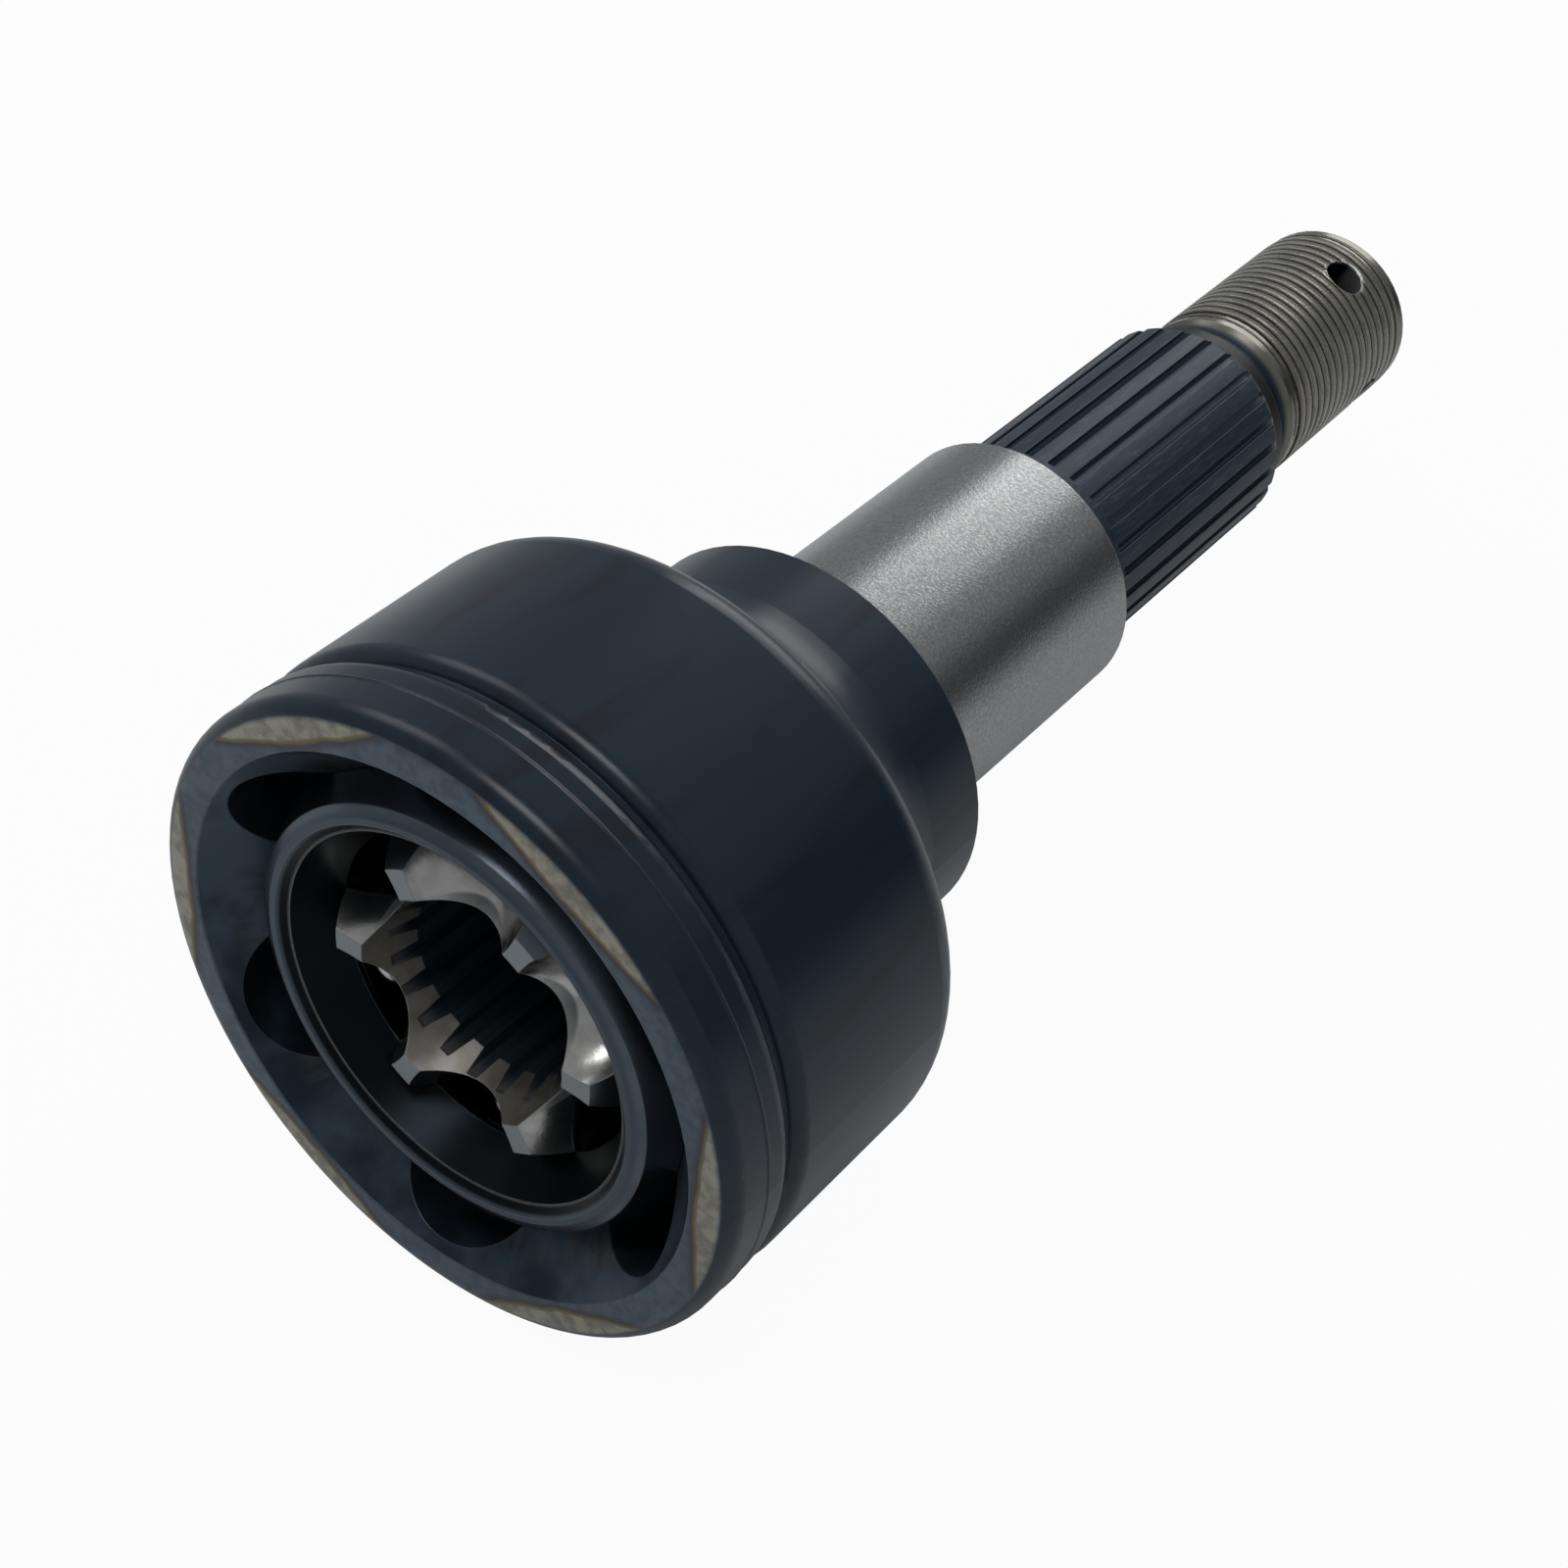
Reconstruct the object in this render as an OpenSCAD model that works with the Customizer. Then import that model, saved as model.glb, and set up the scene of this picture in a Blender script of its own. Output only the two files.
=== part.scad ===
// Outer constant-velocity joint of a wheel drive: a bell with a splined stub
// shaft, an inner race, a cage and six balls that run in curved tracks.
// The axis is Y, the stub points to +Y, the open mouth faces -Y, and the origin
// is the point that the joint bends about. +Z runs through one ball track.

/* [Bell] */
// How much larger than the cage's sphere the bell's outer radius is
bell_wall = 7.5; // [6.8:0.1:10]
// Distance from the cage's front face to the flat mouth face
mouth_lead = 1.8; // [1:0.1:3]
// Radius of the rounded lip around the mouth face
mouth_lip_r = 2; // [1:0.1:2.2]
// How far the mouth cone's rim lies inside the bell's outer radius
mouth_face_w = 4.6; // [4:0.1:5.5]
// Angle between the mouth cone and the axis
mouth_cone_angle = 40; // [35:1:45]
// Length of the boot seat, measured from the mouth face
boot_seat_len = 6.9; // [6.5:0.1:8]
// How far the boot seat lies below the bell
boot_seat_drop = 0.1; // [0.05:0.05:0.3]
// Distance from the mouth face to the middle of the fine rib on the boot seat
seat_rib_at = 5.1; // [4.5:0.1:5.8]
// Width of the boot groove, with its rounded shoulders
boot_groove_w = 4; // [3.6:0.1:4.4]
// Depth of the boot groove below the bell
boot_groove_depth = 1.2; // [0.8:0.1:1.4]
// Radius of the shoulders of the boot groove
boot_groove_r = 1.8; // [1.5:0.1:2]
// Radius of the rounded back edge
bell_edge_r = 4; // [2.5:0.1:5]
// Distance from the cage's back face to the flat floor of the bell
floor_gap = 7.3; // [7.2:0.1:8.5]
// Distance from where the back edge starts to round to the flat floor
back_to_floor = 5.9; // [5:0.1:7.5]

/* [Stub shaft] */
// Radius of the neck behind the bell
neck_r = 21.4; // [20:0.1:23]
// Distance from the bell's floor to the end of the blend on the neck
floor_to_neck = 10.3; // [8:0.1:12]
// Length of the neck, from the blend to the bearing shoulder
neck_len = 8.3; // [5:0.1:14]
// Radius of the ground bearing journal
journal_r = 15; // [14:0.5:17.5]
// Length of the journal from shoulder to step
journal_len = 37.9; // [30:0.1:50]
// Outer radius of the hub spline
hub_spline_r = 12.7; // [12:0.1:13.2]
// Depth of the hub spline grooves
hub_groove_depth = 1.2; // [0.8:0.1:1.5]
// Number of hub spline teeth
hub_teeth = 27; // [20:1:30]
// Width of a hub spline groove at the surface
hub_groove_w = 1.15; // [0.9:0.05:1.4]
// Width of a hub spline groove at its root
hub_groove_root_w = 0.65; // [0.4:0.05:0.8]
// Distance from the start of the hub spline to its grooves
hub_groove_lead = 1.7; // [1:0.1:2.5]
// Length of the hub spline land
hub_spline_len = 35; // [28:0.5:42]
// Length of the chamfer at the thread end of the hub spline
hub_chamfer_len = 2.1; // [1.5:0.1:3]
// Length of the plain collar between that chamfer and the thread relief
hub_collar_len = 1.8; // [1:0.1:3]
// How far the collar lies below the roots of the grooves
hub_collar_drop = 0.1; // [0.1:0.05:0.4]
// Outer radius of the hub nut thread
thread_r = 10.7; // [10:0.1:11]
// Length of the thread
thread_len = 29.2; // [22:0.1:34]
// Length of the relief between collar and thread
relief_len = 3.5; // [2.5:0.1:4.5]
// Depth of the relief below the thread
relief_depth = 0.9; // [0.6:0.1:1.2]
// Radius of the two cross holes for a split pin
pin_hole_r = 2.4; // [1.8:0.1:2.6]
// Distance from the shaft end to the cross holes
pin_hole_from_end = 8; // [6:0.1:9]
// Angle of the first cross hole, from +Z towards +X
pin_hole_angle = 24; // [0:1:89]
// Radius of the lathe centre in the shaft end
lathe_centre_r = 2.6; // [1.5:0.1:3.5]

/* [Balls and tracks] */
// Radius of a ball
ball_r = 7.144; // [7.05:0.01:7.2]
// How far the ball centres lie inside the cage's sphere
ball_circle_drop = 3; // [2.8:0.05:3.2]
// Distance from the bend centre to the centre of each track arc
track_offset = 2.5; // [2.2:0.1:2.7]
// Play between a ball and a track
track_play = 0.156; // [0.12:0.01:0.2]
// Angle at which a bell track ends, from its arc centre
track_end_angle = 33; // [32:1:36]
// How much narrower than its track the pocket at a track's end is, each side
pocket_step = 0.8; // [0.5:0.1:1.2]

/* [Cage] */
// Radius of the sphere outside the cage
cage_r = 26; // [25.8:0.05:26.3]
// Half of the width of the cage
cage_half_w = 13.7; // [13.3:0.1:14]
// Play between the cage and the bell, and between the cage and the inner race
cage_play = 0.06; // [0.04:0.01:0.1]
// Wall of the cage, from its outer sphere to the sphere of its bore
cage_wall = 6.94; // [6.6:0.02:7.3]
// Width of the flat ring on the cage's front face, with its outer bevel
cage_face_w = 2.1; // [1.8:0.1:2.5]
// Gap between the foot of the opening cone and the windows
cone_foot_gap = 0.85; // [0.4:0.05:1.8]
// Bevel on the edges of the cage
cage_bevel = 0.8; // [0.4:0.1:1]
// Length of a window around the cage
window_len = 17.6; // [17:0.1:18.2]
// Play between a ball and the window faces, each side
window_play = 0.2; // [0.18:0.01:0.3]
// Corner radius of a window
window_corner_r = 3.5; // [2:0.1:4.5]

/* [Inner race] */
// Half of the width of the inner race
race_half_w = 11.7; // [11.4:0.1:12]
// Number of teeth in the drive shaft bore
bore_teeth = 20; // [18:1:22]
// Width of the flat land faces beside the lead-in cone
land_face_w = 3.12; // [2.9:0.02:3.5]
// How much wider than the tooth tips the lead-in cone is at the face
lead_in_rise = 1.8; // [1.6:0.05:2.1]
// Depth of the tooth spaces in the bore
bore_groove_depth = 0.9; // [0.6:0.05:0.95]
// Angle of the first tooth space, from +Z towards +X
bore_phase = 6; // [0:1:17]
// Length of the lead-in cone
lead_in_len = 5.5; // [5:0.1:6]
// Width of the groove for the drive shaft's ring
ring_groove_w = 1.8; // [1.2:0.1:2.2]
// Distance from the back face to the ring groove
ring_groove_from_back = 3; // [2.6:0.1:3.5]
// Bevel on the back end of the bore
race_back_bevel = 1.3; // [1:0.1:1.6]

/* [Hidden] */
$fn = 96;
// Number of balls, one node each
ball_count = 6;
// Extra length by which a cut runs past a face
over = 1;
// Small chamfer on turned edges
edge = 0.6;
// Root and tip widths of the bore's tooth spaces, as shares of the tooth pitch
groove_open_share = 0.52;
groove_root_share = 0.3;

// The cage's sphere sets the bell, the ball circle and the inner race
bell_r = cage_r + bell_wall;
bore_r = cage_r + cage_play;
ball_circle_r = cage_r - ball_circle_drop;
cage_bore_r = cage_r - cage_wall;
race_r = cage_bore_r - cage_play;
track_r = ball_r + track_play;
// Both track arcs pass through the ball centres, which lie off the arc centres
arc_r = sqrt(pow(ball_circle_r, 2) + pow(track_offset, 2));

// Radii where the spheres of the cage and the inner race meet their flat faces
cage_rim_r = sqrt(pow(cage_r, 2) - pow(cage_half_w, 2));
cage_mouth_r = cage_rim_r - cage_face_w;
race_rim_r = sqrt(pow(race_r, 2) - pow(race_half_w, 2));
lead_in_r = race_rim_r - land_face_w;
bore_tip_r = lead_in_r - lead_in_rise;

mouth_y = -cage_half_w - mouth_lead;
mouth_cone_r = bell_r - mouth_face_w;
floor_y = cage_half_w + floor_gap;
bell_back = floor_y - back_to_floor;
blend_end = floor_y + floor_to_neck;
shoulder_at = blend_end + neck_len;
seat_r = bell_r - boot_seat_drop;
seat_end = mouth_y + boot_seat_len;
groove_end = seat_end + boot_groove_w;
journal_end = shoulder_at + journal_len;
spline_start = journal_end + (journal_r - hub_spline_r) / 2;
spline_end = spline_start + hub_spline_len;
collar_start = spline_end + hub_chamfer_len;
relief_start = collar_start + hub_collar_len;
thread_start = relief_start + relief_len;
shaft_end = thread_start + thread_len;
relief_r = thread_r - relief_depth;
groove_root_r = hub_spline_r - hub_groove_depth;
collar_r = groove_root_r - hub_collar_drop;
bore_root_r = bore_tip_r + bore_groove_depth;

// The blend behind the bell is one arc that touches the rounded edge and the neck
edge_centre_r = bell_r - bell_edge_r;
blend_h = blend_end - bell_back;
blend_d = edge_centre_r - neck_r;
blend_r = (pow(blend_d, 2) + pow(blend_h, 2) - pow(bell_edge_r, 2)) / (2 * (blend_d + bell_edge_r));
blend_centre_r = neck_r + blend_r;

// Turns a shape made around Z so that it runs along Y
module along_axis() {
    rotate([-90, 0, 0]) children();
}

// Repeats a shape that stands at +Z for every ball, around Y
module at_each_ball() {
    for (i = [0 : ball_count - 1])
        rotate([0, i * 360 / ball_count, 0]) children();
}

// A curved ball track at +Z: a round tube bent about a point on the axis
module track(centre_y, from_angle, to_angle) {
    translate([0, centre_y, 0]) rotate([0, -90, 0]) rotate([0, 0, from_angle])
        rotate_extrude(angle = to_angle - from_angle) translate([arc_r, 0]) circle(r = track_r);
}

// The round pocket that the cutter's nose leaves beyond the end of a track
module track_end(centre_y, at_angle) {
    translate([0, centre_y + arc_r * sin(at_angle), arc_r * cos(at_angle)]) sphere(r = track_r - pocket_step);
}

// One spline groove as an outline at +Y of the drawing plane, narrower at its root
module groove_outline(open_r, root_r, open_w, root_w) {
    beyond = root_r + (open_r - root_r) * 1.5;
    half_open = open_w / 2;
    half_root = root_w / 2;
    half_beyond = half_root + (half_open - half_root) * 1.5;
    polygon([
        [-half_root, root_r], [half_root, root_r],
        [half_beyond, beyond], [-half_beyond, beyond]
    ]);
}

// The boot groove's outline, open outwards, between two rounded shoulders
module boot_groove_outline() {
    difference() {
        translate([bell_r - boot_groove_depth, seat_end]) square([boot_groove_depth + over, boot_groove_w]);
        translate([seat_r - boot_groove_r, seat_end]) circle(r = boot_groove_r);
        translate([bell_r - boot_groove_r, groove_end]) circle(r = boot_groove_r);
    }
}

// The bell's outline from the mouth to the end of its blend, radius against length
module bell_outline() {
    rib_h = boot_seat_drop;
    rib_y = mouth_y + seat_rib_at;
    difference() {
        polygon([
            [0, mouth_y], [seat_r - mouth_lip_r, mouth_y], [seat_r, mouth_y + mouth_lip_r],
            [seat_r, rib_y - 2 * rib_h], [seat_r + rib_h, rib_y], [seat_r, rib_y + 2 * rib_h],
            [seat_r, seat_end], [bell_r, groove_end], [bell_r, bell_back], [0, bell_back]
        ]);
        boot_groove_outline();
    }
    translate([seat_r - mouth_lip_r, mouth_y + mouth_lip_r]) circle(r = mouth_lip_r);
    translate([edge_centre_r, bell_back]) circle(r = bell_edge_r);
    difference() {
        polygon([
            [0, bell_back], [edge_centre_r, bell_back], [blend_centre_r, blend_end],
            [neck_r, blend_end], [0, blend_end]
        ]);
        translate([blend_centre_r, blend_end]) circle(r = blend_r);
    }
}

// The stub shaft's outline from the neck to the shaft end, radius against length
module shaft_outline() {
    polygon([
        [0, blend_end], [neck_r, blend_end],
        [neck_r, shoulder_at - edge], [neck_r - edge, shoulder_at],
        [journal_r, shoulder_at], [journal_r, journal_end - edge], [journal_r - edge, journal_end],
        [hub_spline_r, spline_start], [hub_spline_r, spline_end],
        [collar_r, collar_start], [collar_r, relief_start - edge / 2], [collar_r - edge / 2, relief_start],
        [relief_r, relief_start], [relief_r, thread_start - relief_depth],
        [thread_r, thread_start], [thread_r, shaft_end - 2 * edge], [thread_r - 2 * edge, shaft_end],
        [0, shaft_end]
    ]);
}

// The space that the cage and inner race turn in: a ball-shaped bore with a flat
// floor, opened by the mouth cone
module bell_hollow() {
    cone_h = (mouth_cone_r - cage_mouth_r) / tan(mouth_cone_angle);
    intersection() {
        sphere(r = bore_r);
        along_axis() translate([0, 0, mouth_y - over]) cylinder(r = bell_r, h = floor_y - mouth_y + over);
    }
    along_axis() translate([0, 0, mouth_y]) cylinder(r1 = mouth_cone_r, r2 = cage_mouth_r, h = cone_h);
    along_axis() translate([0, 0, mouth_y - over]) cylinder(r = mouth_cone_r, h = over);
}

// Grooves of the hub spline: they start behind a plain lead and run out through the chamfer
module hub_spline_grooves() {
    groove_start = spline_start + hub_groove_lead;
    difference() {
        along_axis() translate([0, 0, groove_start - edge])
            linear_extrude(height = collar_start - groove_start + 2 * edge)
                for (i = [0 : hub_teeth - 1])
                    rotate([0, 0, i * 360 / hub_teeth])
                        groove_outline(hub_spline_r, groove_root_r, hub_groove_w, hub_groove_root_w);
        along_axis() translate([0, 0, groove_start - edge])
            cylinder(r1 = hub_spline_r + edge, r2 = groove_root_r - edge, h = hub_groove_depth + 2 * edge);
    }
}

module outer_race() {
    color("#39434b") difference() {
        along_axis() rotate_extrude() {
            bell_outline();
            shaft_outline();
        }
        bell_hollow();
        at_each_ball() {
            track(-track_offset, -66, track_end_angle);
            track_end(-track_offset, track_end_angle);
        }
        hub_spline_grooves();
        for (turn = [0, 90])
            translate([0, shaft_end - pin_hole_from_end, 0]) rotate([0, pin_hole_angle + turn, 0])
                cylinder(r = pin_hole_r, h = 2 * thread_r + 2 * over, center = true);
        along_axis() translate([0, 0, shaft_end - lathe_centre_r * sqrt(3)])
            cylinder(r1 = 0, r2 = lathe_centre_r, h = lathe_centre_r * sqrt(3));
    }
}

// A window's outline: length around the cage against width along the axis
module window_outline() {
    w = window_len;
    h = 2 * (ball_r + window_play);
    r = window_corner_r;
    square([w - 2 * r, h], center = true);
    square([w, h - 2 * r], center = true);
    for (x = [-1, 1], y = [-1, 1])
        translate([x * (w / 2 - r), y * (h / 2 - r)]) circle(r = r);
}

module cage() {
    // The opening cone crosses the bore's sphere in front of the windows and runs on inside it
    cone_foot_y = ball_r + window_play + cone_foot_gap;
    cone_foot_r = sqrt(pow(cage_bore_r, 2) - pow(cone_foot_y, 2));
    cone_slope = (cage_mouth_r - cone_foot_r) / (cage_half_w - cone_foot_y);
    color("#4d5357") difference() {
        intersection() {
            sphere(r = cage_r);
            along_axis() rotate_extrude() polygon([
                [0, -cage_half_w], [cage_rim_r - cage_bevel, -cage_half_w],
                [cage_r + over, (cage_r + over - cage_rim_r + cage_bevel) / 2 - cage_half_w],
                [cage_r + over, cage_half_w], [0, cage_half_w]
            ]);
        }
        sphere(r = cage_bore_r);
        along_axis() translate([0, 0, -cage_half_w])
            cylinder(r1 = cage_mouth_r, r2 = cone_foot_r - over * cone_slope, h = cage_half_w - cone_foot_y + over);
        along_axis() translate([0, 0, -cage_half_w - over])
            cylinder(r1 = cage_mouth_r + cage_bevel + over, r2 = cage_mouth_r - cage_bevel / 4, h = over + cage_bevel);
        at_each_ball() linear_extrude(height = cage_r + over) window_outline();
    }
}

// The bore of the inner race: a spline with a lead-in cone and a ring groove
module shaft_bore() {
    full = 2 * race_half_w + 2 * over;
    pitch = 2 * PI * bore_root_r / bore_teeth;
    along_axis() translate([0, 0, -race_half_w - over]) {
        cylinder(r = bore_tip_r, h = full);
        linear_extrude(height = full)
            for (i = [0 : bore_teeth - 1])
                rotate([0, 0, bore_phase + i * 360 / bore_teeth])
                    groove_outline(bore_tip_r, bore_root_r, pitch * groove_open_share, pitch * groove_root_share);
    }
    along_axis() translate([0, 0, -race_half_w]) cylinder(r1 = lead_in_r, r2 = bore_tip_r, h = lead_in_len);
    along_axis() translate([0, 0, race_half_w - ring_groove_from_back - ring_groove_w])
        cylinder(r = bore_root_r + edge, h = ring_groove_w);
    along_axis() translate([0, 0, race_half_w - race_back_bevel])
        cylinder(r1 = bore_tip_r, r2 = bore_tip_r + race_back_bevel, h = race_back_bevel);
}

module inner_race() {
    color("#8f979c") difference() {
        intersection() {
            sphere(r = race_r);
            along_axis() cylinder(r = race_r + over, h = 2 * race_half_w, center = true);
        }
        at_each_ball() track(track_offset, -64, 64);
        shaft_bore();
    }
}

// One ball, counted from +Z towards +X
module ball(i) {
    color("#d5dade") rotate([0, (i - 1) * 360 / ball_count, 0])
        translate([0, 0, ball_circle_r]) sphere(r = ball_r);
}

outer_race();
cage();
inner_race();
ball(1);  // ball_1
ball(2);  // ball_2
ball(3);  // ball_3
ball(4);  // ball_4
ball(5);  // ball_5
ball(6);  // ball_6
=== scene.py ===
"""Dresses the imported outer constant-velocity joint: steels, heat tints, hub thread, studio and camera."""

from __future__ import annotations

import logging
import math
from dataclasses import dataclass, field
from enum import Enum

import bpy
from mathutils import Matrix, Vector


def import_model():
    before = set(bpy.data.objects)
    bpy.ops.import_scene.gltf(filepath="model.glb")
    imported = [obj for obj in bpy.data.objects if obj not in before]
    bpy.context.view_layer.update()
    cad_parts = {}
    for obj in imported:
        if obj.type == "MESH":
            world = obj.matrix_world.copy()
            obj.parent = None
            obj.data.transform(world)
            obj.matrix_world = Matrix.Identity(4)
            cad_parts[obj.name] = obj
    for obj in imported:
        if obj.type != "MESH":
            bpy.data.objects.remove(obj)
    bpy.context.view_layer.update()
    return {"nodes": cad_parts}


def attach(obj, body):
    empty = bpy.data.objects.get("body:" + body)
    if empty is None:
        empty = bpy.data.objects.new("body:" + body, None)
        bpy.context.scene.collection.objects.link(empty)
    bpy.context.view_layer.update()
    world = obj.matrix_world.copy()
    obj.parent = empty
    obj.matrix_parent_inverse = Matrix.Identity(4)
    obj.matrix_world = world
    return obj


LOG = logging.getLogger("joint")
MM = 0.001

Socket = bpy.types.NodeSocket
Value = float | Socket
Colour = tuple[float, float, float, float]
Paint = Socket | Colour | str
Triple = tuple[float, float, float]
Pair = tuple[float, float]

WHITE: Colour = (1.0, 1.0, 1.0, 1.0)
EDGE_SAMPLES = 8
BUMP_SAMPLES = 6
# Cosines of the rounded normal's turn at which a worn edge starts to show and is full
EDGE_COSINES: Pair = (0.985, 0.85)


class Slot(Enum):
    """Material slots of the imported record."""

    FORGED = "forged_steel"
    CAGE = "cage_steel"
    RACE = "race_steel"
    BALL = "ball_steel"


@dataclass(frozen=True)
class Steel:
    """One steel of a zone: colour, metallic share and roughness."""

    colour: str
    metallic: float
    roughness: float


@dataclass(frozen=True)
class Spots:
    """Soft spots: how many for each mm, their octaves, and the noise at which they start and are full."""

    scale: float
    detail: float = 3.0
    rough: float = 0.5
    start: float = 0.35
    full: float = 0.7


@dataclass(frozen=True)
class Relief:
    """A finish's fine height: depth of its bump and radius of its rounded edges, in mm."""

    depth: float
    edge: float


def srgb(text: str) -> Colour:
    """Turns a colour written as six hex digits into linear light.

    Args:
        text: The colour, such as "1a222a".

    Returns:
        The colour as linear red, green, blue and alpha.
    """
    parts = [int(text[i : i + 2], 16) / 255 for i in (0, 2, 4)]
    red, green, blue = [p / 12.92 if p <= 0.04045 else ((p + 0.055) / 1.055) ** 2.4 for p in parts]
    return (red, green, blue, 1.0)


class Nodes:
    """A node tree, with short calls for the nodes that the finishes, the studio and the thread use."""

    def __init__(self, tree: bpy.types.NodeTree) -> None:
        """Takes a tree and empties it."""
        self.tree = tree
        self.tree.nodes.clear()

    def node(self, kind: str, **settings: object) -> bpy.types.Node:
        """Adds a node and sets its plain settings.

        Args:
            kind: The node's type name.
            **settings: Values for the node's own properties.

        Returns:
            The new node.
        """
        made = self.tree.nodes.new(kind)
        for key, value in settings.items():
            setattr(made, key, value)
        return made

    def feed(self, target: Socket, source: object) -> None:
        """Links a socket to the target, or writes a plain value or a hex colour on it.

        Args:
            target: The input that takes it.
            source: A socket, a plain value, or a colour as six hex digits.
        """
        if isinstance(source, bpy.types.NodeSocket):
            self.tree.links.new(source, target)
        elif isinstance(source, str):
            target.default_value = srgb(source)
        else:
            target.default_value = source

    def feed_all(self, node: bpy.types.Node, **sources: object) -> None:
        """Feeds inputs by name, with an underscore for a space in the name.

        Args:
            node: The node whose inputs are fed.
            **sources: A socket or a plain value for each input.
        """
        for name, source in sources.items():
            self.feed(node.inputs[name.replace("_", " ")], source)

    def maths(self, operation: str, a: Value, b: Value = 0.0) -> Socket:
        """Adds a Math node.

        Args:
            operation: The node's operation, such as "ADD".
            a: First number or socket.
            b: Second number or socket.

        Returns:
            The node's result.
        """
        made = self.node("ShaderNodeMath", operation=operation)
        for socket, value in zip(made.inputs, (a, b)):
            self.feed(socket, value)
        return made.outputs[0]

    def plus(self, a: Value, b: Value) -> Socket:
        """Adds two numbers."""
        return self.maths("ADD", a, b)

    def minus(self, a: Value, b: Value) -> Socket:
        """Takes the second number from the first."""
        return self.maths("SUBTRACT", a, b)

    def times(self, a: Value, b: Value) -> Socket:
        """Multiplies two numbers."""
        return self.maths("MULTIPLY", a, b)

    def larger(self, a: Value, b: Value) -> Socket:
        """Gives the larger of two numbers."""
        return self.maths("MAXIMUM", a, b)

    def hypotenuse(self, a: Value, b: Value) -> Socket:
        """Gives the root of the sum of two squares."""
        return self.maths("SQRT", self.plus(self.times(a, a), self.times(b, b)))

    def dot(self, a: Socket, b: Socket | Triple) -> Socket:
        """Gives the dot product of two vectors.

        Args:
            a: First vector.
            b: Second vector, as a socket or as three numbers.

        Returns:
            The product.
        """
        made = self.node("ShaderNodeVectorMath", operation="DOT_PRODUCT")
        for socket, value in zip(made.inputs, (a, b)):
            self.feed(socket, value)
        return made.outputs["Value"]

    def ramp(self, value: Value, start: Value, full: Value, low: float = 0.0, high: float = 1.0) -> Socket:
        """Goes smoothly from low to high while the value goes from start to full.

        Args:
            value: The number that drives the ramp.
            start: Its value where the ramp starts.
            full: Its value where the ramp ends, which may be the smaller one.
            low: Result at the start.
            high: Result at the end.

        Returns:
            The ramp's result.
        """
        made = self.node("ShaderNodeMapRange", interpolation_type="SMOOTHSTEP")
        self.feed_all(made, Value=value, From_Min=start, From_Max=full, To_Min=low, To_Max=high)
        return made.outputs["Result"]

    def band(self, value: Value, low: float, high: float, soft: float) -> Socket:
        """Gives 1 between low and high and 0 outside.

        Args:
            value: The number that is tested.
            low: Lower edge of the band.
            high: Upper edge of the band.
            soft: Width of each edge.

        Returns:
            The band as a mask.
        """
        rise = self.ramp(value, low - soft / 2, low + soft / 2)
        fall = self.ramp(value, high + soft / 2, high - soft / 2)
        return self.times(rise, fall)

    def both(self, *masks: Socket) -> Socket:
        """Multiplies masks together.

        Args:
            *masks: The masks, from 0 to 1.

        Returns:
            Their product.
        """
        product = masks[0]
        for mask in masks[1:]:
            product = self.times(product, mask)
        return product

    def vector(self, x: Value, y: Value, z: Value) -> Socket:
        """Joins three numbers into coordinates.

        Args:
            x: First number.
            y: Second number.
            z: Third number.

        Returns:
            The vector.
        """
        made = self.node("ShaderNodeCombineXYZ")
        self.feed_all(made, X=x, Y=y, Z=z)
        return made.outputs[0]

    def split(self, vector: Socket) -> tuple[Socket, Socket, Socket]:
        """Splits a vector into its three numbers."""
        made = self.node("ShaderNodeSeparateXYZ")
        self.feed(made.inputs[0], vector)
        return tuple(made.outputs)

    def length(self, vector: Socket) -> Socket:
        """Gives a vector's length."""
        made = self.node("ShaderNodeVectorMath", operation="LENGTH")
        self.feed(made.inputs[0], vector)
        return made.outputs["Value"]


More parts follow.
